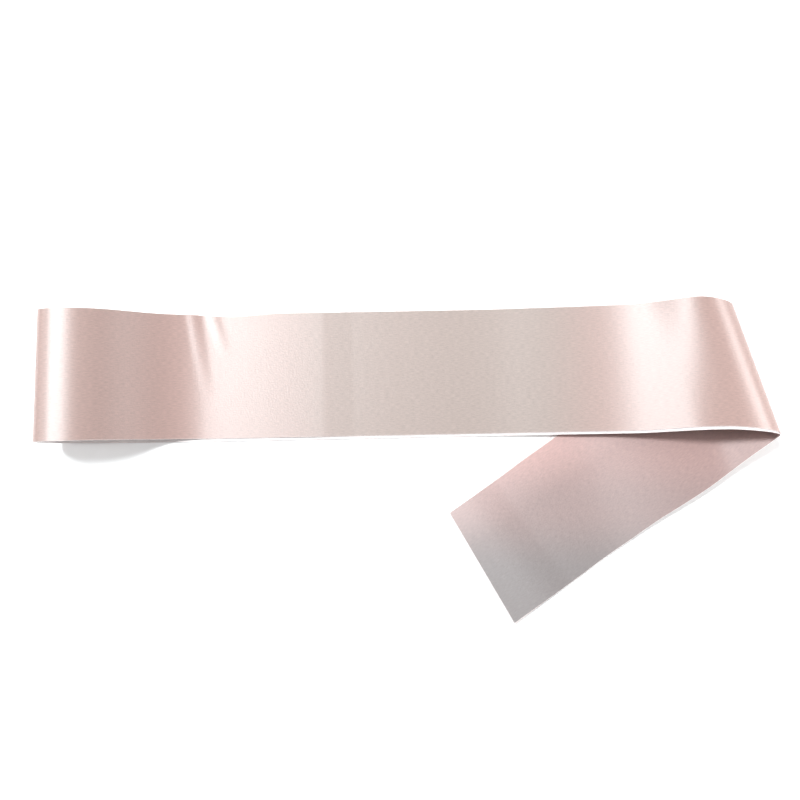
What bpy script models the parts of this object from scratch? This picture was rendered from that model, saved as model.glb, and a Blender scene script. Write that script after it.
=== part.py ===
"""A satin sash: one long strip of satin, folded in half end to end and laid on a table.

The doubled strip runs along X. Its left end is the middle of the sash, a soft standing loop.
At its right end both layers turn over together about a slanting axis and come back below,
towards the front left, where the two cut ends lie on each other.
Metres, +Z up, the table at Z = 0, the origin under the middle of the whole sash.
"""

import math
from collections import namedtuple

import bmesh
import bpy
import numpy as np
from mathutils import Vector

# Driving dimensions
SASH_WIDTH = 0.095
SASH_LENGTH = 1.6162
OUTER_CUT_END = 0.5268
WALL = 0.001
LAYER_GAP = 0.0003
SEAM_GAP = 0.0003
FOLD_SLANT = math.radians(18.0)
CUT_SLANT = math.tan(math.radians(6.6))
LEFT_LOOP_SKEW = 0.0033
SKEW_POWER = 6

LAYER_PITCH = WALL + LAYER_GAP
LOWER_LAYER = WALL / 2
UPPER_LAYER = WALL / 2 + LAYER_PITCH
BETWEEN_LAYERS = (LOWER_LAYER + UPPER_LAYER) / 2

# Sections are soft curves pulled towards the rows below, in order along the cloth.
# Along is the place across the fold and height the place above the table.
Row = namedtuple("Row", "along height")

# The left loop, from the top layer round to the layer on the table
LEFT_LOOP = [
    Row(along=0.050, height=UPPER_LAYER),
    Row(along=0.000, height=UPPER_LAYER),
    Row(along=-0.050, height=UPPER_LAYER),
    Row(along=-0.100, height=UPPER_LAYER),
    Row(along=-0.138, height=UPPER_LAYER),
    Row(along=-0.158, height=0.0030),
    Row(along=-0.178, height=0.0120),
    Row(along=-0.197, height=0.0245),
    Row(along=-0.213, height=0.0358),
    Row(along=-0.2275, height=0.0431),
    Row(along=-0.242, height=0.0448),
    Row(along=-0.2525, height=0.0446),
    Row(along=-0.2622, height=0.0400),
    Row(along=-0.2648, height=0.0255),
    Row(along=-0.2620, height=0.0085),
    Row(along=-0.253, height=LOWER_LAYER),
    Row(along=-0.240, height=LOWER_LAYER),
    Row(along=-0.215, height=LOWER_LAYER),
    Row(along=-0.150, height=LOWER_LAYER),
    Row(along=-0.100, height=LOWER_LAYER),
    Row(along=-0.050, height=LOWER_LAYER),
    Row(along=0.000, height=LOWER_LAYER),
    Row(along=0.050, height=LOWER_LAYER),
]

# The right fold, halfway between its two layers, from the run on the table round to the tail
RIGHT_FOLD = [
    Row(along=-0.060, height=BETWEEN_LAYERS),
    Row(along=-0.030, height=BETWEEN_LAYERS),
    Row(along=0.000, height=BETWEEN_LAYERS),
    Row(along=0.030, height=BETWEEN_LAYERS),
    Row(along=0.055, height=BETWEEN_LAYERS),
    Row(along=0.075, height=0.0020),
    Row(along=0.095, height=0.0042),
    Row(along=0.115, height=0.0062),
    Row(along=0.134, height=0.0085),
    Row(along=0.151, height=0.0115),
    Row(along=0.166, height=0.0158),
    Row(along=0.179, height=0.0212),
    Row(along=0.191, height=0.0272),
    Row(along=0.203, height=0.0328),
    Row(along=0.215, height=0.0364),
    Row(along=0.227, height=0.0377),
    Row(along=0.2385, height=0.0354),
    Row(along=0.248, height=0.0287),
    Row(along=0.2475, height=0.0220),
    Row(along=0.241, height=0.0188),
    Row(along=0.229, height=0.0150),
    Row(along=0.216, height=0.0118),
    Row(along=0.198, height=0.0101),
    Row(along=0.180, height=0.0086),
    Row(along=0.158, height=0.0066),
    Row(along=0.137, height=0.0042),
    Row(along=0.115, height=0.0018),
    Row(along=0.095, height=BETWEEN_LAYERS),
    Row(along=0.075, height=BETWEEN_LAYERS),
    Row(along=0.000, height=BETWEEN_LAYERS),
    Row(along=-0.100, height=BETWEEN_LAYERS),
    Row(along=-0.200, height=BETWEEN_LAYERS),
    Row(along=-0.300, height=BETWEEN_LAYERS),
]

# Ridges that stand up on the top run: where each crosses the back edge, how far it leans per metre
# of width, how far it reaches in from the back edge, how wide it is and how high
Ridge = namedtuple("Ridge", "at lean reach width height")
RIDGES = [
    Ridge(at=-0.1560, lean=0.16, reach=0.064, width=0.0050, height=0.0016),
    Ridge(at=-0.1400, lean=0.24, reach=0.030, width=0.0050, height=0.0022),
]

# The slight rises between the lines pressed right across the top run, left from when it was packed
PRESSED_LINES = [
    Row(along=-0.152, height=0.0),
    Row(along=-0.109, height=0.0006),
    Row(along=-0.058, height=0.0010),
    Row(along=-0.036, height=0.0003),
    Row(along=0.010, height=0.0),
]
LINE_SOFTNESS = 0.0016

# How far each layer strays sideways, towards its back edge, at places along the cloth that are
# measured from the middle of the run
Stray = namedtuple("Stray", "along outer inner")
STRAYS = [
    Stray(along=-0.300, outer=-0.0004, inner=-0.0004),
    Stray(along=-0.215, outer=0.0004, inner=-0.0018),
    Stray(along=-0.120, outer=0.0002, inner=-0.0020),
    Stray(along=0.170, outer=0.0004, inner=-0.0016),
    Stray(along=0.240, outer=0.0038, inner=0.0014),
    Stray(along=0.300, outer=-0.0022, inner=-0.0038),
    Stray(along=0.340, outer=-0.0016, inner=-0.0052),
    Stray(along=0.410, outer=0.0026, inner=-0.0028),
    Stray(along=0.455, outer=0.0026, inner=-0.0004),
    Stray(along=0.535, outer=0.0022, inner=0.0032),
]

# Where the back edge of the top run is drawn in beside its ridges
DRAWN_IN = Ridge(at=-0.1270, lean=0.0, reach=SASH_WIDTH, width=0.036, height=0.0019)

# How far the back corner of the right fold droops, and over what distance
CORNER_DROOP = 0.0042
CORNER_REACH = 0.034

# The rise to the right fold bends square to the strip and its nose along the slanting axis. The
# change starts this far before the nose and is spread over this length.
SLANT_START = 0.012
SLANT_SPREAD = 0.030

# Where the rows of each grid lie. Left of the run's middle they come in bands, first to last.
Band = namedtuple("Band", "first last rows")
BANDS = {
    "outer": [
        Band(first=0.166, last=0.126, rows=16),
        Band(first=0.122, last=0.098, rows=7),
        Band(first=0.080, last=0.080, rows=1),
        Band(first=0.067, last=0.051, rows=5),
        Band(first=0.030, last=0.030, rows=1),
    ],
    "inner": [Band(first=0.150, last=0.030, rows=4)],
}
LOOP_FOOT = 0.170
LOOP_ROWS = 30
FOLD_START = 0.050
FOLD_STEEP = 0.215
TAIL_LANDED = 0.085
RISE_ROWS = 22
NOSE_ROWS = 12
LANDING_ROWS = 16
CURVE_STEPS = 24
ACROSS_STEPS = 8

SATIN_COLOUR = (0.80, 0.64, 0.61, 1.0)
SATIN_ROUGHNESS = 0.35


def soft_curve(rows):
    """Points of the uniform cubic B-spline that the rows pull on."""
    pulls = np.array(rows, float)
    t = np.linspace(0.0, 1.0, CURVE_STEPS, endpoint=False)[:, None]
    weights = [(1 - t) ** 3, 3 * t**3 - 6 * t**2 + 4, -3 * t**3 + 3 * t**2 + 3 * t + 1, t**3]
    spans = [
        sum(w * pulls[i + k] for k, w in enumerate(weights)) / 6
        for i in range(len(pulls) - 3)
    ]
    return np.concatenate(spans)


def lengths_along(points):
    """The distance along a line of points, from its first one."""
    steps = np.linalg.norm(np.diff(points, axis=0), axis=1)
    return np.concatenate([[0.0], np.cumsum(steps)])


def moved_sideways(points, distance):
    """The line of points, moved to its left by a distance."""
    forward = np.gradient(points, axis=0)
    forward /= np.linalg.norm(forward, axis=1)[:, None]
    return points + distance * np.column_stack([-forward[:, 1], forward[:, 0]])


class Section:
    """A cloth's section: where a distance along the cloth lies, across the fold and above the table."""

    def __init__(self, points, start):
        self.points = points
        self.distance = lengths_along(points) + start

    def at(self, distance):
        along = np.interp(distance, self.distance, self.points[:, 0])
        height = np.interp(distance, self.distance, self.points[:, 1])
        return along, height


def left_sections():
    """The top layer and the table layer left of the run's middle, each read from there leftwards."""
    curve = soft_curve(LEFT_LOOP)
    nose = int(np.argmin(curve[:, 0]))
    top = curve[: nose + 1]
    below = curve[nose:][::-1]
    return Section(top, -top[0, 0]), Section(below, -below[0, 0])


def right_sections():
    """The right fold's middle and its outer and inner layer, sampled at the same places."""
    middle = soft_curve(RIGHT_FOLD)
    outer = moved_sideways(middle, LAYER_PITCH / 2)
    inner = moved_sideways(middle, -LAYER_PITCH / 2)
    return [Section(line, line[0, 0]) for line in (middle, outer, inner)]


LEFT = dict(zip(("outer", "inner"), left_sections()))
RIGHT = dict(zip(("middle", "outer", "inner"), right_sections()))
FOLD_NOSE = int(np.argmax(RIGHT["outer"].points[:, 0]))
FOLD_DISTANCE = {layer: RIGHT[layer].distance[FOLD_NOSE] for layer in RIGHT}
LOOP_LENGTH = {layer: LEFT[layer].distance[-1] for layer in LEFT}
CUT_END = {"outer": OUTER_CUT_END}
CUT_END["inner"] = SASH_LENGTH - sum(LOOP_LENGTH.values()) - OUTER_CUT_END


def swell(x):
    """A smooth bump: 1 at 0, and 0 from 1 on."""
    x = min(abs(x), 1.0)
    return (1 - x * x) ** 2


def soft_step(x):
    """A smooth step: 0 up to 0, and 1 from 1 on."""
    x = min(max(x, 0.0), 1.0)
    return x * x * (3 - 2 * x)


def raised(x, across):
    """How far the top run stands up from its section."""
    from_back = SASH_WIDTH / 2 - across
    places, heights = zip(*PRESSED_LINES)
    nearby = [x - LINE_SOFTNESS, x - LINE_SOFTNESS / 2, x, x + LINE_SOFTNESS / 2, x + LINE_SOFTNESS]
    height = float(np.mean(np.interp(nearby, places, heights)))
    for ridge in RIDGES:
        fade = max(0.0, 1 - from_back / ridge.reach)
        height += ridge.height * fade * swell((x - ridge.at - ridge.lean * from_back) / ridge.width)
    return height


def drawn_in(x, across):
    """How far the top run is drawn in from its back edge."""
    fade = max(0.0, 0.5 + across / SASH_WIDTH)
    return DRAWN_IN.height * fade**2 * swell((x - DRAWN_IN.at) / DRAWN_IN.width)


def droop(layer, distance, across):
    """How far the back corner of the right fold hangs towards the front."""
    along_fold = swell((distance - FOLD_DISTANCE[layer]) / CORNER_REACH)
    return CORNER_DROOP * along_fold * swell((SASH_WIDTH / 2 - across) / CORNER_REACH)


def stray(layer, along):
    """How far a layer strays towards its back edge at a place along it."""
    for before, after in zip(STRAYS, STRAYS[1:]):
        if along <= after.along:
            break
    share = soft_step((along - before.along) / (after.along - before.along))
    first, last = getattr(before, layer), getattr(after, layer)
    return first + (last - first) * share


def fold_height(layer, distance, y):
    """The height of the right fold, whose rise bends square to the strip. Both layers read it at the
    same places of the fold's middle, so they stay the same distance apart."""
    middle = RIGHT["middle"].distance
    shared = float(np.interp(distance, RIGHT[layer].distance, middle))
    upright = soft_step((FOLD_DISTANCE["middle"] - shared - SLANT_START) / SLANT_SPREAD)
    place = shared - y * math.sin(FOLD_SLANT) * upright
    return float(np.interp(place, middle, RIGHT[layer].points[:, 1]))


def cloth_point(layer, along, across):
    """A point of the middle of the wall. Along runs from the run's middle, negative to the left,
    and across runs from the strip's centre line to its back edge."""
    sideways = stray(layer, along)
    if along < 0:
        x, z = LEFT[layer].at(-along)
        share = -along / LOOP_LENGTH[layer]
        x += LEFT_LOOP_SKEW * across / SASH_WIDTH * share**SKEW_POWER
        y = across + sideways
        if layer == "outer":
            z += raised(x, across)
            y -= drawn_in(x, across)
        return Vector((x, y, z))
    slant, square = math.sin(FOLD_SLANT), math.cos(FOLD_SLANT)
    distance = along * square + across * slant
    turned = RIGHT[layer].at(distance)[0]
    level = (across + sideways) * square - along * slant - droop(layer, distance, across)
    y = level * square + turned * slant
    return Vector((turned * square - level * slant, y, fold_height(layer, distance, y)))


def fold_row(layer, distance):
    """The places along the cloth, front edge to back edge, of a line across it that lies along the
    fold's axis, at a distance along the section."""
    slant, square = math.sin(FOLD_SLANT), math.cos(FOLD_SLANT)
    return lambda across: (distance - across * slant) / square


def square_row(along):
    """The places of a line straight across the cloth."""
    return lambda across: along


def end_row(layer):
    """The places of the cut end, which slants so that the front corner is the longer one."""
    return lambda across: CUT_END[layer] - across * CUT_SLANT


def left_rows(layer):
    """Rows from the left loop's nose to the run's middle, closest where the cloth turns most."""
    places = [np.linspace(LOOP_LENGTH[layer] - SEAM_GAP / 2, LOOP_FOOT, LOOP_ROWS)]
    places += [np.linspace(band.first, band.last, band.rows) for band in BANDS[layer]]
    return [square_row(-float(place)) for place in np.concatenate(places)]


def fold_places(layer, first, last, count):
    """Distances along a layer's section, at the same evenly spread samples for both layers."""
    samples = np.linspace(first, last, count)
    index = np.arange(len(RIGHT[layer].distance))
    return [float(np.interp(s, index, RIGHT[layer].distance)) for s in samples]


def sample_at(along, before_nose):
    """The sample of the right section where it passes a place across the fold."""
    line = RIGHT["outer"].points[:, 0]
    part = slice(0, FOLD_NOSE) if before_nose else slice(FOLD_NOSE, None)
    return int(np.argmin(np.abs(line[part] - along))) + (0 if before_nose else FOLD_NOSE)


def run_rows(layer):
    """Rows of a run: from the left loop's nose to the right fold's nose."""
    start, steep = sample_at(FOLD_START, True), sample_at(FOLD_STEEP, True)
    places = fold_places(layer, start, steep, RISE_ROWS)
    places += fold_places(layer, steep, FOLD_NOSE, NOSE_ROWS)[1:]
    places[-1] -= SEAM_GAP / 2
    return left_rows(layer) + [fold_row(layer, place) for place in places]


def tail_rows(layer):
    """Rows of a tail: from the right fold's nose to the cut end."""
    steep, landed = sample_at(FOLD_STEEP, False), sample_at(TAIL_LANDED, False)
    places = fold_places(layer, FOLD_NOSE, steep, NOSE_ROWS)
    places += fold_places(layer, steep, landed, LANDING_ROWS)[1:]
    places[0] += SEAM_GAP / 2
    return [fold_row(layer, place) for place in places] + [end_row(layer)]


def satin(name):
    material = bpy.data.materials.new(name)
    material.use_nodes = True
    shader = material.node_tree.nodes["Principled BSDF"]
    shader.inputs["Base Color"].default_value = SATIN_COLOUR
    shader.inputs["Roughness"].default_value = SATIN_ROUGHNESS
    shader.inputs["Metallic"].default_value = 0.0
    material.diffuse_color = SATIN_COLOUR
    return material


def make_stretch(name, layer, rows, collection, parent):
    """One stretch of the strip: an open grid laid along its rows, given its wall by Solidify."""
    mesh = bpy.data.meshes.new(name)
    grid = bmesh.new()
    bmesh.ops.create_grid(grid, x_segments=len(rows) - 1, y_segments=ACROSS_STEPS, size=0.5)
    for vert in grid.verts:
        row = rows[round((vert.co.x + 0.5) * (len(rows) - 1))]
        across = vert.co.y * SASH_WIDTH
        vert.co = cloth_point(layer, row(across), across)
    grid.to_mesh(mesh)
    grid.free()
    mesh.shade_smooth()
    stretch = bpy.data.objects.new(name, mesh)
    stretch.data.materials.append(satin(name + "_satin"))
    collection.objects.link(stretch)
    stretch.parent = parent
    wall = stretch.modifiers.new("wall", "SOLIDIFY")
    wall.thickness = WALL
    wall.offset = 0.0
    wall.use_even_offset = True
    return stretch


def centre_on_origin(parent, stretches):
    """Moves the sash so that the middle of its box stands on the origin."""
    graph = bpy.context.evaluated_depsgraph_get()
    corners = np.array([
        stretch.matrix_world @ Vector(corner)
        for stretch in stretches
        for corner in stretch.evaluated_get(graph).bound_box
    ])
    middle = (corners.min(0) + corners.max(0)) / 2
    parent.location = (-middle[0], -middle[1], -corners[:, 2].min())


def main():
    for thing in list(bpy.data.objects):
        bpy.data.objects.remove(thing)
    collection = bpy.data.collections.new("satin_sash")
    bpy.context.scene.collection.children.link(collection)
    parent = bpy.data.objects.new("sash_origin", None)
    collection.objects.link(parent)
    stretches = [
        make_stretch("top_run", "outer", run_rows("outer"), collection, parent),
        make_stretch("under_run", "inner", run_rows("inner"), collection, parent),
        make_stretch("tail_upper", "inner", tail_rows("inner"), collection, parent),
        make_stretch("tail_lower", "outer", tail_rows("outer"), collection, parent),
    ]
    bpy.context.view_layer.update()
    centre_on_origin(parent, stretches)


main()
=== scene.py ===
import math
from collections import namedtuple

import bmesh
import bpy
import numpy as np
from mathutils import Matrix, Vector


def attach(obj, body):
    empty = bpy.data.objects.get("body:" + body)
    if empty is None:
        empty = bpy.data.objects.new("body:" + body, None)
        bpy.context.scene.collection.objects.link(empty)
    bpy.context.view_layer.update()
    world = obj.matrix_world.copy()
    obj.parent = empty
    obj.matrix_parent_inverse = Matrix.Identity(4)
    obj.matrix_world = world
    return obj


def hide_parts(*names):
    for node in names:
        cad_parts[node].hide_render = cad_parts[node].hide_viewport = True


# One satin sash, folded in half end to end and laid on a pale table. Lengths are in metres.

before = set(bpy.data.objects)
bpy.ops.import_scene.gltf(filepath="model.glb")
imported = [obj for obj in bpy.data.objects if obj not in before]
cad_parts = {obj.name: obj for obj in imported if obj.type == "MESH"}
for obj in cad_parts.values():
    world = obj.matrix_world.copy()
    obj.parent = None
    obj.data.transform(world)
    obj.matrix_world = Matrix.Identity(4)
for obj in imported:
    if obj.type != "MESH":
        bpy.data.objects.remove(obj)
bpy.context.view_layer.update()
print("frame loaded")

# the camera looks almost straight down, from a little in front of the sash

cameraView = {
    "aim": (-0.0061, 0.0508, 0.0),
    "distance": 0.6105,
    "elevation": 86.7,
    "roll": 1.05,
    "lens": 35.91,
    "sensor": 36.0,
    "nearest": 0.01,
    "farthest": 20.0,
}


def makeCamera(view):
    lens = bpy.data.cameras.new("camera")
    lens.lens = view["lens"]
    lens.sensor_width = view["sensor"]
    lens.clip_start = view["nearest"]
    lens.clip_end = view["farthest"]
    camera = bpy.data.objects.new("camera", lens)
    bpy.context.scene.collection.objects.link(camera)
    lift = math.radians(view["elevation"])
    back = Vector((0, -math.cos(lift), math.sin(lift)))
    camera.location = Vector(view["aim"]) + back * view["distance"]
    camera.rotation_euler = (math.pi / 2 - lift, 0, 0)
    camera.rotation_euler.rotate_axis("Z", math.radians(-view["roll"]))
    bpy.context.scene.camera = camera


makeCamera(cameraView)
print("camera placed")

# the strip's own shape: soft sections pulled along by rows, as wide as the ribbon

strip = {
    "width": 0.095,
    "length": 1.6184,
    "outerCutEnd": 0.5268,
    "wall": 0.001,
    "layerGap": 0.0003,
    "seamGap": 0.00001,  # closed up here, so that no seam shows at a fold
    "foldSlant": math.radians(18.0),
    "cutSlant": math.tan(math.radians(6.6)),
    "leftSkew": 0.0033,
    "leftSkewPower": 6,
    "curveSteps": 24,  # between one row and the next
    "mapStart": 0.4,  # added to each length in the strip's map, which then stays between 0 and 1
    "origin": (-0.0061, 0.0712, 0.0),
    "thickness": 0.00025,  # of the cloth itself, inside its solid's wall
    "towardsPartner": 0.00035,  # how far the cloth lies from the middle of that wall
}
slant, square = math.sin(strip["foldSlant"]), math.cos(strip["foldSlant"])
layerPitch = strip["wall"] + strip["layerGap"]

Row = namedtuple("Row", "along height")
lowerLayer = strip["wall"] / 2
upperLayer = lowerLayer + strip["wall"] + strip["layerGap"]
halfway = (lowerLayer + upperLayer) / 2

leftLoop = [
    Row(0.050, upperLayer), Row(0.000, upperLayer), Row(-0.050, upperLayer), Row(-0.100, upperLayer),
    Row(-0.138, upperLayer), Row(-0.158, 0.0024), Row(-0.178, 0.0074), Row(-0.197, 0.0206),
    Row(-0.213, 0.0346), Row(-0.229, 0.0430), Row(-0.243, 0.0448), Row(-0.2550, 0.0451),
    Row(-0.2632, 0.0402), Row(-0.2645, 0.0255), Row(-0.2620, 0.0085), Row(-0.253, lowerLayer),
    Row(-0.240, lowerLayer), Row(-0.215, lowerLayer), Row(-0.150, lowerLayer),
    Row(-0.100, lowerLayer), Row(-0.050, lowerLayer), Row(0.000, lowerLayer),
    Row(0.050, lowerLayer),
]

rightFold = [
    Row(-0.060, halfway), Row(-0.030, halfway), Row(0.000, halfway), Row(0.030, halfway),
    Row(0.055, halfway), Row(0.075, 0.0020), Row(0.095, 0.0042), Row(0.115, 0.0062),
    Row(0.134, 0.0085), Row(0.151, 0.0115), Row(0.166, 0.0158), Row(0.179, 0.0211),
    Row(0.191, 0.0264), Row(0.203, 0.0316), Row(0.215, 0.0354), Row(0.227, 0.0371),
    Row(0.2385, 0.0352), Row(0.2480, 0.0287), Row(0.2478, 0.0222), Row(0.2420, 0.0195),
    Row(0.2310, 0.0162), Row(0.2200, 0.0126), Row(0.2090, 0.0096), Row(0.195, 0.0086),
    Row(0.176, 0.0076), Row(0.157, 0.0062), Row(0.137, 0.0042), Row(0.115, 0.0018),
    Row(0.095, halfway), Row(0.075, halfway), Row(0.000, halfway), Row(-0.100, halfway),
    Row(-0.200, halfway), Row(-0.300, halfway),
]

# how far each layer strays towards its back edge, at places along the cloth
Stray = namedtuple("Stray", "along outer inner")
strays = [
    Stray(-0.300, -0.0004, -0.0004), Stray(-0.215, 0.0004, -0.0018), Stray(-0.120, 0.0002, -0.0020),
    Stray(0.170, 0.0004, -0.0016), Stray(0.240, 0.0038, 0.0014), Stray(0.300, -0.0022, -0.0038),
    Stray(0.340, -0.0016, -0.0052), Stray(0.410, 0.0026, -0.0012), Stray(0.455, 0.0026, 0.0000),
    Stray(0.535, 0.0022, 0.0022),
]

# soft ridges at the back edge of the top run, and lines pressed in when the sash was packed
Ridge = namedtuple("Ridge", "at lean reach width height")
ridges = [
    Ridge(at=-0.1575, lean=0.16, reach=0.066, width=0.0070, height=0.0006),
    Ridge(at=-0.1425, lean=0.30, reach=0.032, width=0.0070, height=0.0004),
]
drawnIn = {"at": -0.1270, "width": 0.036, "depth": 0.0019}
pressedLines = [
    Row(-0.152, 0.0), Row(-0.109, 0.0003), Row(-0.058, 0.0007), Row(-0.036, 0.0001), Row(0.010, 0.0),
]
lineSoftness = 0.0016

# small soft wrinkles that lie almost along the strip, some of them on the sides that don't show
Wrinkle = namedtuple("Wrinkle", "along across length reach pitch lean height")
wrinkles = {
    "outer": [
        Wrinkle(0.105, 0.022, 0.034, 0.020, 0.0042, 0.22, 0.00026),
        Wrinkle(-0.228, -0.022, 0.034, 0.016, 0.0060, -0.12, 0.00014),
        Wrinkle(-0.020, -0.010, 0.050, 0.024, 0.0090, 0.05, 0.00007),
        Wrinkle(0.430, 0.015, 0.050, 0.022, 0.0060, -0.08, 0.00012),
    ],
    "inner": [
        Wrinkle(0.060, -0.018, 0.045, 0.022, 0.0064, -0.10, 0.00014),
        Wrinkle(-0.170, 0.020, 0.040, 0.020, 0.0056, 0.12, 0.00014),
        Wrinkle(0.345, 0.020, 0.034, 0.018, 0.0060, 0.10, 0.00010),
        Wrinkle(0.470, -0.012, 0.036, 0.020, 0.0070, -0.06, 0.00008),
    ],
}
endLift = {"height": 0.0006, "before": 0.024, "reach": 0.026}
foldCorner = {"droop": 0.0042, "reach": 0.034}
uprightRise = {"near": 0.008, "far": 0.060}


# an even cubic spline, pulled towards the rows without passing through them
def softCurve(rows):
    pulls = np.array(rows, float)
    t = np.linspace(0.0, 1.0, strip["curveSteps"], endpoint=False)[:, None]
    weights = [(1 - t) ** 3, 3 * t**3 - 6 * t**2 + 4, -3 * t**3 + 3 * t**2 + 3 * t + 1, t**3]
    return np.concatenate([
        sum(w * pulls[i + k] for k, w in enumerate(weights)) / 6 for i in range(len(pulls) - 3)
    ])


def movedSideways(points, distance):
    forward = np.gradient(points, axis=0)
    forward /= np.linalg.norm(forward, axis=1)[:, None]
    return points + distance * np.column_stack([-forward[:, 1], forward[:, 0]])


# a layer's section: distances are measured along its solid's wall, and the cloth lies a little nearer
# to the other layer than the middle of that wall
class Section:
    def __init__(self, wall, start, aside):
        steps = np.linalg.norm(np.diff(wall, axis=0), axis=1)
        self.distance = np.concatenate([[0.0], np.cumsum(steps)]) + start
        self.wall = wall
        self.cloth = movedSideways(wall, aside)

    def at(self, distance):
        return [np.interp(distance, self.distance, self.cloth[:, k]) for k in (0, 1)]


def makeSections():
    aside = strip["towardsPartner"]
    loop = softCurve(leftLoop)
    nose = int(np.argmin(loop[:, 0]))
    below = loop[nose:][::-1]
    fold = softCurve(rightFold)
    outer, inner = movedSideways(fold, layerPitch / 2), movedSideways(fold, -layerPitch / 2)
    leftSections = {
        "outer": Section(loop[: nose + 1], -loop[0, 0], aside),
        "inner": Section(below, -below[0, 0], -aside),
    }
    rightSections = {
        "middle": Section(fold, fold[0, 0], 0.0),
        "outer": Section(outer, outer[0, 0], -aside),
        "inner": Section(inner, inner[0, 0], aside),
    }
    return leftSections, rightSections


left, right = makeSections()
foldNose = int(np.argmax(right["outer"].wall[:, 0]))
loopLength = {layer: left[layer].distance[-1] for layer in left}
cutEnd = {"outer": strip["outerCutEnd"]}
cutEnd["inner"] = strip["length"] - sum(loopLength.values()) - strip["outerCutEnd"]


# 1 in the middle, falling softly to 0 at 1 on each side
def swell(x):
    x = np.minimum(np.abs(x), 1.0)
    return (1 - x * x) ** 2


def softStep(x):
    x = np.clip(x, 0.0, 1.0)
    return x * x * (3 - 2 * x)


def raised(x, across):
    fromBack = strip["width"] / 2 - across
    places, heights = np.array(pressedLines).T
    nearby = (-1, -0.5, 0, 0.5, 1)
    height = sum(np.interp(x + lineSoftness * k, places, heights) for k in nearby) / len(nearby)
    for ridge in ridges:
        fade = np.maximum(0.0, 1 - fromBack / ridge.reach)
        height = height + ridge.height * fade * swell((x - ridge.at - ridge.lean * fromBack) / ridge.width)
    return height


def pulledIn(x, across):
    fade = np.maximum(0.0, 0.5 + across / strip["width"])
    return drawnIn["depth"] * fade**2 * swell((x - drawnIn["at"]) / drawnIn["width"])


def stray(layer, along):
    places = np.array([s.along for s in strays])
    amounts = np.array([getattr(s, layer) for s in strays])
    k = np.clip(np.searchsorted(places, along, side="left") - 1, 0, len(places) - 2)
    share = (along - places[k]) / (places[k + 1] - places[k])
    return amounts[k] + (amounts[k + 1] - amounts[k]) * softStep(share)


def wrinkled(layer, along, across):
    height = endLift["height"] * swell((along - cutEnd[layer] + endLift["before"]) / endLift["reach"])
    for w in wrinkles[layer]:
        fade = swell((along - w.along) / w.length) * swell((across - w.across) / w.reach)
        height = height + w.height * fade * np.sin(2 * math.pi * (across - w.lean * along) / w.pitch)
    return height


# the rise to the right fold bends square to the strip, and its nose along the slanting axis
def foldHeight(layer, distance, y):
    middle = right["middle"].distance
    shared = np.interp(distance, right[layer].distance, middle)
    upright = softStep((middle[foldNose] - shared - uprightRise["near"]) / uprightRise["far"])
    return np.interp(shared - y * slant * upright, middle, right[layer].cloth[:, 1])


def leftPoints(layer, along, across, sideways):
    x, z = left[layer].at(-along)
    share = np.maximum(0.0, -along / loopLength[layer])
    x = x + strip["leftSkew"] * across / strip["width"] * share ** strip["leftSkewPower"]
    y = across + sideways
    if layer == "outer":
        z = z + raised(x, across)
        y = y - pulledIn(x, across)
    return np.stack([x, y, z], axis=-1)


def rightPoints(layer, along, across, sideways):
    distance = along * square + across * slant
    turned = right[layer].at(distance)[0]
    corner = swell((distance - right[layer].distance[foldNose]) / foldCorner["reach"])
    corner = corner * swell((strip["width"] / 2 - across) / foldCorner["reach"])
    level = (across + sideways) * square - along * slant - foldCorner["droop"] * corner
    y = level * square + turned * slant
    return np.stack([turned * square - level * slant, y, foldHeight(layer, distance, y)], axis=-1)


def clothPoints(layer, along, across):
    place = (layer, along, across, stray(layer, along))
    points = np.where((along < 0)[..., None], leftPoints(*place), rightPoints(*place))
    points[..., 2] += wrinkled(layer, along, across)
    return points + np.array(strip["origin"])


# each stretch is a fine grid with its rows along the bends, in metres of cloth for its weave

sashGrid = {
    "step": 0.0015,
    "across": 44,
    "bridge": (-0.040, 0.055),  # where the run's rows turn from square to the right fold's slant
    "afterFold": 0.185,
    "beforeCut": 0.055,
}


def evenSteps(first, last, step):
    return np.linspace(first, last, max(2, int(round(abs(last - first) / step)) + 1))


def foldPlaces(across, distances):
    return (distances[:, None] - across[None, :] * slant) / square


def runPlaces(layer, across):
    start, end = sashGrid["bridge"]
    loop = -evenSteps(loopLength[layer] - strip["seamGap"] / 2, -start, sashGrid["step"])
    loopGrid = np.repeat(loop[:, None], len(across), axis=1)
    nose = right[layer].distance[foldNose] - strip["seamGap"] / 2
    foldGrid = foldPlaces(across, evenSteps(end, nose, sashGrid["step"]))
    share = evenSteps(0.0, 1.0, sashGrid["step"] / (end - start))[1:-1, None]
    bridge = loopGrid[-1] * (1 - share) + foldGrid[0] * share
    return np.concatenate([loopGrid, bridge, foldGrid])


def tailPlaces(layer, across):
    nose = right[layer].distance[foldNose] + strip["seamGap"] / 2
    foldGrid = foldPlaces(across, evenSteps(nose, nose + sashGrid["afterFold"], sashGrid["step"]))
    end = cutEnd[layer] - across * strip["cutSlant"]
    share = evenSteps(0.0, 1.0, sashGrid["step"] / sashGrid["beforeCut"])[1:, None]
    return np.concatenate([foldGrid, foldGrid[-1] * (1 - share) + end * share])


# the satin: long floats on the right side, a dull pale back. Its tone drifts between pink and greyer
# along the strip, read at metres from the middle of the run.

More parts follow.
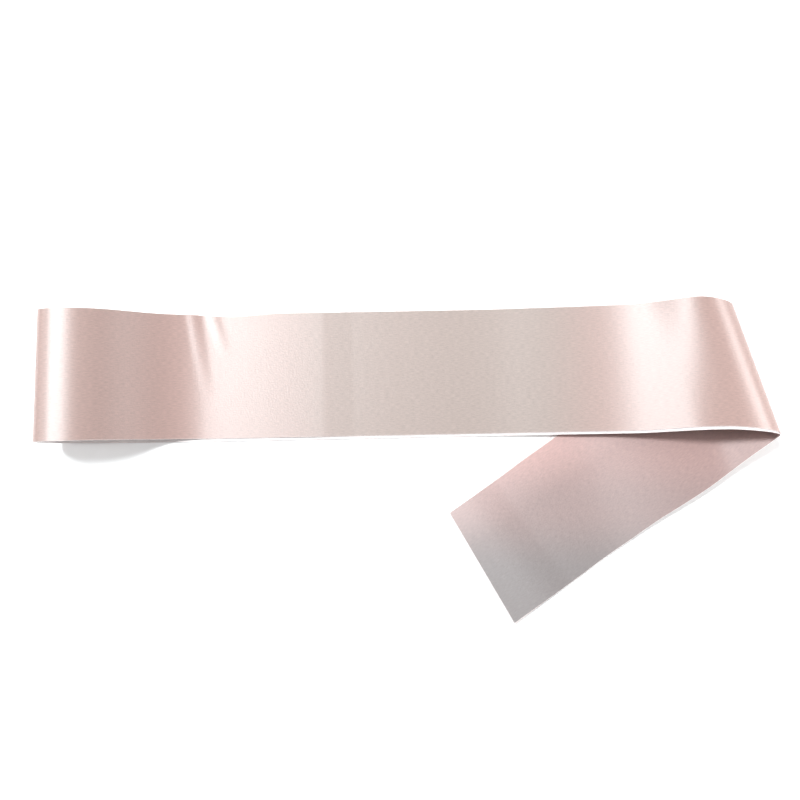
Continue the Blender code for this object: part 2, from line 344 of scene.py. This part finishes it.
satin = {
    "pink": (0.500, 0.325, 0.290),
    "greyer": (0.455, 0.362, 0.326),
    "greyerAt": [
        (-0.24, 0.15), (-0.16, 0.0), (-0.10, 0.35), (-0.04, 0.9), (0.10, 1.0), (0.17, 0.1), (0.25, 0.0),
    ],
    "lean": 0.0,  # how far the tones slant across the strip
    # a painted highlight band along one long edge; none on the run
    "paintedEdgeHighlight": 0.0,
    "paintedEdgeHighlightFrom": 0.062,
    "streaks": 0.36,
    "streakScale": (1500.0, 260.0),  # across and along
    "streakDetail": 3.0,
    "roughness": 0.51,
    "anisotropy": 0.82,
    "ior": 2.5,
    "sheen": 0.12,
    "bump": 1.30,
    "grainScale": (950.0, 700.0),
    "grainDetail": 2.0,
    "grainDepth": 0.00008,
}

# the tail's copy of the satin, with painted shade in its colour: a darker pink that fades to a dark grey
# towards the cut end, slanting across the strip; a painted highlight lightens one long edge, and a lower
# IOR dulls its sheen
tailPaintedShadeSatin = {
    **satin,
    # a darker copy of the run's pink: painted shade
    "pink": (0.475, 0.286, 0.264),
    "greyer": (0.245, 0.205, 0.201),
    # the grey share here is painted shade, darkest at the cut end
    "greyerAt": [(0.25, 0.0), (0.37, 0.15), (0.44, 0.50), (0.53, 1.0)],
    "lean": 1.38,
    # painted highlight along one long edge
    "paintedEdgeHighlight": 0.40,
    "ior": 2.1,
}

wrongSide = {
    "colour": (0.95, 0.89, 0.88),
    "roughness": 0.75,
    "bump": 0.3,
    "weaveScale": (1500.0, 2400.0),
    "weaveDetail": 2.0,
    "weaveDepth": 0.00008,
}
clothNoiseRoughness = 0.6


def addNode(tree, kind, **inputs):
    node = tree.nodes.new(kind)
    for key, value in inputs.items():
        node.inputs[key.replace("_", " ")].default_value = value
    return node


def newMaterial(name):
    material = bpy.data.materials.new(name)
    material.use_nodes = True
    return material, material.node_tree, material.node_tree.nodes["Principled BSDF"]


def stretchedNoise(tree, scale, detail):
    uv = tree.nodes.new("ShaderNodeUVMap")
    uv.uv_map = "strip"
    mapping = addNode(tree, "ShaderNodeMapping", Scale=(*scale, 1.0))
    tree.links.new(uv.outputs["UV"], mapping.inputs["Vector"])
    noise = addNode(
        tree, "ShaderNodeTexNoise", Scale=1.0, Detail=detail, Roughness=clothNoiseRoughness
    )
    tree.links.new(mapping.outputs["Vector"], noise.inputs["Vector"])
    return noise.outputs["Fac"]


def bumped(tree, shader, height, strength, depth):
    bump = addNode(tree, "ShaderNodeBump", Strength=strength, Distance=depth)
    tree.links.new(height, bump.inputs["Height"])
    tree.links.new(bump.outputs["Normal"], shader.inputs["Normal"])


# the slow drift of tone, with its stops at lengths along the strip; on the tail the grey stops are painted
# shade
def satinTones(tree, place, look):
    tones = tree.nodes.new("ShaderNodeValToRGB")
    tones.color_ramp.interpolation = "EASE"
    stops = tones.color_ramp.elements
    for k, (along, grey) in enumerate(look["greyerAt"]):
        stop = stops[k] if k < 2 else stops.new(1.0)
        stop.position = along + strip["mapStart"] - look["lean"] * strip["width"] / 2
        mixed = [p + (g - p) * grey for p, g in zip(look["pink"], look["greyer"])]
        stop.color = (*mixed, 1.0)
    lean = tree.nodes.new("ShaderNodeMath")
    lean.operation = "MULTIPLY_ADD"
    lean.inputs[1].default_value = -look["lean"]
    tree.links.new(place.outputs["X"], lean.inputs[0])
    tree.links.new(place.outputs["Y"], lean.inputs[2])
    tree.links.new(lean.outputs["Value"], tones.inputs["Fac"])
    return tones.outputs["Color"]


# fine streaks along the floats, and a painted highlight band along one long edge
def satinDepth(tree, place, look):
    streaks = addNode(
        tree, "ShaderNodeMapRange", To_Min=1.0 - look["streaks"], To_Max=1.0 + look["streaks"]
    )
    floats = stretchedNoise(tree, look["streakScale"], look["streakDetail"])
    tree.links.new(floats, streaks.inputs["Value"])
    edge = addNode(
        tree, "ShaderNodeMapRange", From_Min=look["paintedEdgeHighlightFrom"], From_Max=strip["width"],
        To_Min=1.0, To_Max=1.0 + look["paintedEdgeHighlight"],
    )
    tree.links.new(place.outputs["X"], edge.inputs["Value"])
    depth = tree.nodes.new("ShaderNodeMath")
    depth.operation = "MULTIPLY"
    tree.links.new(streaks.outputs["Result"], depth.inputs[0])
    tree.links.new(edge.outputs["Result"], depth.inputs[1])
    return depth.outputs["Value"]


def satinMaterial(name, look):
    material, tree, shader = newMaterial(name)
    uv = tree.nodes.new("ShaderNodeUVMap")
    uv.uv_map = "strip"
    place = tree.nodes.new("ShaderNodeSeparateXYZ")
    tree.links.new(uv.outputs["UV"], place.inputs["Vector"])
    colour = tree.nodes.new("ShaderNodeVectorMath")
    colour.operation = "SCALE"
    tree.links.new(satinTones(tree, place, look), colour.inputs["Vector"])
    tree.links.new(satinDepth(tree, place, look), colour.inputs["Scale"])
    tree.links.new(colour.outputs["Vector"], shader.inputs["Base Color"])
    grain = stretchedNoise(tree, look["grainScale"], look["grainDetail"])
    bumped(tree, shader, grain, look["bump"], look["grainDepth"])
    shader.inputs["Roughness"].default_value = look["roughness"]
    shader.inputs["IOR"].default_value = look["ior"]
    shader.inputs["Anisotropic"].default_value = look["anisotropy"]
    shader.inputs["Sheen Weight"].default_value = look["sheen"]
    tangent = tree.nodes.new("ShaderNodeTangent")
    tangent.direction_type = "UV_MAP"
    tangent.uv_map = "strip"
    tree.links.new(tangent.outputs["Tangent"], shader.inputs["Tangent"])
    return material


def dullMaterial(name, look):
    material, tree, shader = newMaterial(name)
    shader.inputs["Base Color"].default_value = (*look["colour"], 1.0)
    shader.inputs["Roughness"].default_value = look["roughness"]
    weave = stretchedNoise(tree, look["weaveScale"], look["weaveDetail"])
    bumped(tree, shader, weave, look["bump"], look["weaveDepth"])
    return material


rightSideSatin = satinMaterial("rightSideSatin", satin)
# the tail's satin: painted shade in its colour and a painted highlight along one edge
tailPaintedShadeMaterial = satinMaterial("tailPaintedShadeMaterial", tailPaintedShadeSatin)
wrongSideSatin = dullMaterial("wrongSideSatin", wrongSide)

# the woven edges are a little thicker than the cloth, and the cut ends have let a few threads go

edgeThread = {
    "thickness": 0.00034,
    "sides": 8,
    "wobble": 0.00006,
    "wobbleScale": 260.0,
    "step": 0.0008,
    "seed": 3,
}
looseThread = {
    "count": 46,
    "length": 0.0017,
    "shortest": 0.35,  # as a share of the length
    "thickness": 0.00006,
    "sides": 4,
    "steps": 6,
    "bend": [(0.0, 0.0, 0.0), (0.4, 0.02, 0.0), (0.7, 0.25, 0.02), (1.0, 0.18, 0.03)],
    "spread": 0.75,  # radians to each side of the cloth's own direction
    "lowestTurn": (-0.3, -0.12),
    "highestTurn": (0.3, 0.06),
    "seed": 21,
}
thread = {
    "colour": (0.95, 0.88, 0.87),
    # painted shade: the thread is darker in the low parts of its twist
    "shadedHollows": (0.74, 0.62, 0.60),
    "shadedHollowsAt": 0.3,
    "colourAt": 0.7,
    "twistScale": 900.0,
    "twistDetail": 2.0,
    "twistDepth": 0.00005,
    "roughness": 0.45,
    "bump": 0.4,
}


def threadMaterial(name, look):
    material, tree, shader = newMaterial(name)
    place = tree.nodes.new("ShaderNodeTexCoord")
    twist = addNode(
        tree, "ShaderNodeTexNoise", Scale=look["twistScale"], Detail=look["twistDetail"]
    )
    tree.links.new(place.outputs["Object"], twist.inputs["Vector"])
    # painted shade: the ramp darkens the thread where its bump is low
    ramp = tree.nodes.new("ShaderNodeValToRGB")
    ramp.color_ramp.elements[0].position = look["shadedHollowsAt"]
    ramp.color_ramp.elements[0].color = (*look["shadedHollows"], 1.0)
    ramp.color_ramp.elements[1].position = look["colourAt"]
    ramp.color_ramp.elements[1].color = (*look["colour"], 1.0)
    tree.links.new(twist.outputs["Fac"], ramp.inputs["Fac"])
    tree.links.new(ramp.outputs["Color"], shader.inputs["Base Color"])
    bumped(tree, shader, twist.outputs["Fac"], look["bump"], look["twistDepth"])
    shader.inputs["Roughness"].default_value = look["roughness"]
    return material


def newTree(name, **inputs):
    tree = bpy.data.node_groups.new(name, "GeometryNodeTree")
    tree.interface.new_socket(name="Geometry", in_out="INPUT", socket_type="NodeSocketGeometry")
    for label, kind in inputs.items():
        tree.interface.new_socket(name=label, in_out="INPUT", socket_type="NodeSocket" + kind)
    tree.interface.new_socket(name="Geometry", in_out="OUTPUT", socket_type="NodeSocketGeometry")
    return tree, tree.nodes.new("NodeGroupInput"), tree.nodes.new("NodeGroupOutput")


def finishTree(tree, geometry, material, output):
    realize = tree.nodes.new("GeometryNodeRealizeInstances")
    paint = addNode(tree, "GeometryNodeSetMaterial", Material=material)
    tree.links.new(geometry, realize.inputs["Geometry"])
    tree.links.new(realize.outputs["Geometry"], paint.inputs["Geometry"])
    tree.links.new(paint.outputs["Geometry"], output.inputs["Geometry"])


# a thread that follows an edge and wobbles a little from side to side
def edgeThreadTree(material, look):
    tree, given, output = newTree(
        "edgeThread", Thickness="Float", Wobble="Float", Step="Float", Seed="Float"
    )
    link = tree.links.new
    curve = tree.nodes.new("GeometryNodeMeshToCurve")
    even = tree.nodes.new("GeometryNodeResampleCurve")
    even.mode = "LENGTH"
    noise = addNode(tree, "ShaderNodeTexNoise", Scale=look["wobbleScale"])
    noise.noise_dimensions = "4D"
    centred = tree.nodes.new("ShaderNodeVectorMath")
    centred.operation = "SUBTRACT"
    centred.inputs[1].default_value = (0.5, 0.5, 0.5)
    sized = tree.nodes.new("ShaderNodeVectorMath")
    sized.operation = "SCALE"
    place = tree.nodes.new("GeometryNodeSetPosition")
    ring = addNode(tree, "GeometryNodeCurvePrimitiveCircle", Resolution=look["sides"])
    half = tree.nodes.new("ShaderNodeMath")
    half.operation = "MULTIPLY"
    half.inputs[1].default_value = 0.5
    tube = addNode(tree, "GeometryNodeCurveToMesh", Fill_Caps=True)
    link(given.outputs["Geometry"], curve.inputs["Mesh"])
    link(curve.outputs["Curve"], even.inputs["Curve"])
    link(given.outputs["Step"], even.inputs["Length"])
    link(given.outputs["Seed"], noise.inputs["W"])
    link(noise.outputs["Color"], centred.inputs[0])
    link(centred.outputs["Vector"], sized.inputs["Vector"])
    link(given.outputs["Wobble"], sized.inputs["Scale"])
    link(even.outputs["Curve"], place.inputs["Geometry"])
    link(sized.outputs["Vector"], place.inputs["Offset"])
    link(given.outputs["Thickness"], half.inputs[0])
    link(half.outputs["Value"], ring.inputs["Radius"])
    link(place.outputs["Geometry"], tube.inputs["Curve"])
    link(ring.outputs["Curve"], tube.inputs["Profile Curve"])
    finishTree(tree, tube.outputs["Mesh"], material, output)
    return tree


# short bent fibres of random size and direction, planted along a cut end
def looseThreadTree(material, look):
    tree, given, output = newTree(
        "looseThread", Count="Int", Length="Float", Thickness="Float", Lowest="Vector",
        Highest="Vector", Seed="Int",
    )
    link = tree.links.new
    curve = tree.nodes.new("GeometryNodeMeshToCurve")
    roots = tree.nodes.new("GeometryNodeCurveToPoints")
    start, startHandle, endHandle, end = look["bend"]
    fibre = addNode(
        tree, "GeometryNodeCurvePrimitiveBezierSegment", Resolution=look["steps"],
        Start=start, Start_Handle=startHandle, End_Handle=endHandle, End=end,
    )
    sized = tree.nodes.new("GeometryNodeTransform")
    ring = addNode(tree, "GeometryNodeCurvePrimitiveCircle", Resolution=look["sides"])
    tube = addNode(tree, "GeometryNodeCurveToMesh", Fill_Caps=True)
    turn = tree.nodes.new("FunctionNodeRandomValue")
    turn.data_type = "FLOAT_VECTOR"
    sizes = addNode(tree, "FunctionNodeRandomValue", Min=look["shortest"], Max=1.0)
    planted = tree.nodes.new("GeometryNodeInstanceOnPoints")
    link(given.outputs["Geometry"], curve.inputs["Mesh"])
    link(curve.outputs["Curve"], roots.inputs["Curve"])
    link(given.outputs["Count"], roots.inputs["Count"])
    link(fibre.outputs["Curve"], sized.inputs["Geometry"])
    link(given.outputs["Length"], sized.inputs["Scale"])
    link(given.outputs["Thickness"], ring.inputs["Radius"])
    link(sized.outputs["Geometry"], tube.inputs["Curve"])
    link(ring.outputs["Curve"], tube.inputs["Profile Curve"])
    link(given.outputs["Lowest"], turn.inputs["Min"])
    link(given.outputs["Highest"], turn.inputs["Max"])
    link(given.outputs["Seed"], turn.inputs["Seed"])
    link(given.outputs["Seed"], sizes.inputs["Seed"])
    link(roots.outputs["Points"], planted.inputs["Points"])
    link(tube.outputs["Mesh"], planted.inputs["Instance"])
    link(turn.outputs["Value"], planted.inputs["Rotation"])
    link(sizes.outputs["Value"], planted.inputs["Scale"])
    finishTree(tree, planted.outputs["Instances"], material, output)
    return tree


threadSatin = threadMaterial("threadSatin", thread)
edgeTree = edgeThreadTree(threadSatin, edgeThread)
looseTree = looseThreadTree(threadSatin, looseThread)


def grown(name, lines, tree, **values):
    mesh = bpy.data.meshes.new(name + "Lines")
    firsts = np.cumsum([0] + [len(line) for line in lines])
    edges = [(k, k + 1) for a, b in zip(firsts, firsts[1:]) for k in range(a, b - 1)]
    mesh.from_pydata(np.concatenate(lines).tolist(), edges, [])
    guide = bpy.data.objects.new(name, mesh)
    bpy.context.scene.collection.objects.link(guide)
    growth = guide.modifiers.new("growth", "NODES")
    growth.node_group = tree
    for item in tree.interface.items_tree:
        if item.in_out == "INPUT" and item.name in values:
            growth[item.identifier] = values[item.name]
    bpy.context.view_layer.update()
    graph = bpy.context.evaluated_depsgraph_get()
    made = bpy.data.meshes.new_from_object(guide.evaluated_get(graph))
    guide.modifiers.remove(growth)
    guide.data = made
    made.materials.clear()
    made.materials.append(threadSatin)
    made.shade_smooth()
    bpy.data.meshes.remove(mesh)
    return guide


def edgeThreads(name, points):
    return grown(
        name + "Edges", [points[:, 0], points[:, -1]], edgeTree,
        Thickness=edgeThread["thickness"], Wobble=edgeThread["wobble"], Step=edgeThread["step"],
        Seed=float(edgeThread["seed"]),
    )


def looseThreads(name, points):
    middle = sashGrid["across"] // 2
    outward = points[-1, middle] - points[-2, middle]
    heading = math.atan2(outward[1], outward[0])
    return grown(
        name + "LooseThreads", [points[-1]], looseTree,
        Count=looseThread["count"], Length=looseThread["length"],
        Thickness=looseThread["thickness"] / 2,
        Lowest=(*looseThread["lowestTurn"], heading - looseThread["spread"]),
        Highest=(*looseThread["highestTurn"], heading + looseThread["spread"]),
        Seed=looseThread["seed"],
    )


# a grid with the strip's own map, in metres across and along; its rim stays crisp. The grid is made
# one unit wide, so a corner's place in it gives its row and column.
def clothMesh(name, layer, across, along, points):
    mesh = bpy.data.meshes.new(name)
    grid = bmesh.new()
    rows, columns = len(along) - 1, len(across) - 1
    bmesh.ops.create_grid(grid, x_segments=rows, y_segments=columns, size=0.5, calc_uvs=False)
    uvLayer = grid.loops.layers.uv.new("strip")
    index = {
        vert: (round((vert.co.x + 0.5) * rows), round((vert.co.y + 0.5) * columns))
        for vert in grid.verts
    }
    for face in grid.faces:
        for loop in face.loops:
            i, j = index[loop.vert]
            loop[uvLayer].uv = (across[j] + strip["width"] / 2, along[i, j] + strip["mapStart"])
    for vert in grid.verts:
        vert.co = points[index[vert]]
    for edge in grid.edges:
        edge.smooth = not edge.is_boundary
    if layer == "inner":
        bmesh.ops.reverse_faces(grid, faces=grid.faces)
    grid.to_mesh(mesh)
    grid.free()
    mesh.shade_smooth()
    return mesh


def makeStretch(name, node, layer, places, material):
    across = np.linspace(-strip["width"] / 2, strip["width"] / 2, sashGrid["across"] + 1)
    along = places(layer, across)
    points = clothPoints(layer, along, np.repeat(across[None, :], len(along), axis=0))
    mesh = clothMesh(name, layer, across, along, points)
    mesh.materials.append(material)
    mesh.materials.append(wrongSideSatin)
    stretch = bpy.data.objects.new(name, mesh)
    bpy.context.scene.collection.objects.link(stretch)
    cloth = stretch.modifiers.new("cloth", "SOLIDIFY")
    cloth.thickness = strip["thickness"]
    cloth.offset = 0.0
    cloth.material_offset = 1
    cloth.material_offset_rim = 1
    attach(stretch, "root")
    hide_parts(node)
    threads = [edgeThreads(name, points)]
    if places is tailPlaces:
        threads.append(looseThreads(name, points))
    for piece in threads:
        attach(piece, "root")


# a plain pale floor, whose faint glow keeps its shadows soft

floorLook = {
    "size": 6.0,
    "below": 0.0001,
    "colour": (0.92, 0.92, 0.92),
    "roughness": 0.9,
    "specular": 0.1,
    "glow": 0.22,
}


def makeFloor(look):
    mesh = bpy.data.meshes.new("floor")
    plane = bmesh.new()
    bmesh.ops.create_grid(plane, x_segments=1, y_segments=1, size=look["size"] / 2)
    plane.to_mesh(mesh)
    plane.free()
    floor = bpy.data.objects.new("floor", mesh)
    floor.location = (0, 0, -look["below"])
    bpy.context.scene.collection.objects.link(floor)
    material, _, shader = newMaterial("paleFloor")
    shader.inputs["Base Color"].default_value = (*look["colour"], 1.0)
    shader.inputs["Roughness"].default_value = look["roughness"]
    shader.inputs["Specular IOR Level"].default_value = look["specular"]
    shader.inputs["Emission Color"].default_value = (1.0, 1.0, 1.0, 1.0)
    shader.inputs["Emission Strength"].default_value = look["glow"]
    mesh.materials.append(material)


makeFloor(floorLook)
makeStretch("topRunSatin", "top_run", "outer", runPlaces, rightSideSatin)
makeStretch("underRunSatin", "under_run", "inner", runPlaces, rightSideSatin)
makeStretch("tailUpperSatin", "tail_upper", "inner", tailPlaces, tailPaintedShadeMaterial)
makeStretch("tailLowerSatin", "tail_lower", "outer", tailPlaces, tailPaintedShadeMaterial)
print("cloth laid")

# soft studio light: a far lamp above the left back, a low lamp at each end, and a pale sky that is
# brighter behind the sash than in front of it

lamps = {
    "key": {
        "at": (-1.08, 1.02, 2.48),
        "to": (-0.10, 0.26, 0.0),
        "size": (0.54, 0.42),
        "power": 5.5,
        "spread": 44.0,
        "colour": (0.93, 0.985, 1.0),
    },
    "leftLow": {
        "at": (-0.95, 0.10, 0.60),
        "to": (-0.26, 0.07, 0.02),
        "size": (0.3, 0.4),
        "power": 1.2,
        "spread": 180.0,
        "colour": (1.0, 0.99, 0.98),
    },
    "rightLow": {
        "at": (0.62, 0.06, 0.32),
        "to": (0.26, 0.05, 0.02),
        "size": (0.24, 0.20),
        "power": 1.5,
        "spread": 180.0,
        "colour": (1.0, 0.99, 0.98),
    },
}
sky = {
    "colour": (0.98, 0.99, 1.0),
    "strength": 0.74,
    "front": 0.02,
    "reach": 0.9,
    "backdrop": 0.90,  # what the camera sees past the floor's edge
}


def makeLamp(name, lamp):
    light = bpy.data.lights.new(name, "AREA")
    light.shape = "RECTANGLE"
    light.size, light.size_y = lamp["size"]
    light.energy = lamp["power"]
    light.color = lamp["colour"]
    light.spread = math.radians(lamp["spread"])
    holder = bpy.data.objects.new(name, light)
    bpy.context.scene.collection.objects.link(holder)
    holder.location = lamp["at"]
    holder.visible_camera = False
    aim = Vector(lamp["to"]) - Vector(lamp["at"])
    holder.rotation_euler = aim.to_track_quat("-Z", "Y").to_euler()


def makeSky(look):
    world = bpy.data.worlds.new("studio")
    bpy.context.scene.world = world
    world.use_nodes = True
    tree = world.node_tree
    background = tree.nodes["Background"]
    background.inputs["Color"].default_value = (*look["colour"], 1.0)
    direction = tree.nodes.new("ShaderNodeTexCoord")
    split = tree.nodes.new("ShaderNodeSeparateXYZ")
    fade = addNode(
        tree, "ShaderNodeMapRange", From_Min=-look["reach"], From_Max=look["reach"],
        To_Min=look["front"], To_Max=look["strength"],
    )
    seen = tree.nodes.new("ShaderNodeLightPath")
    shown = addNode(tree, "ShaderNodeMix", B=look["backdrop"])
    tree.links.new(direction.outputs["Generated"], split.inputs["Vector"])
    tree.links.new(split.outputs["Y"], fade.inputs["Value"])
    tree.links.new(seen.outputs["Is Camera Ray"], shown.inputs["Factor"])
    tree.links.new(fade.outputs["Result"], shown.inputs["A"])
    tree.links.new(shown.outputs["Result"], background.inputs["Strength"])


for name, lamp in lamps.items():
    makeLamp(name, lamp)
makeSky(sky)
bpy.context.scene.view_settings.view_transform = "Standard"
print("lamps lit")
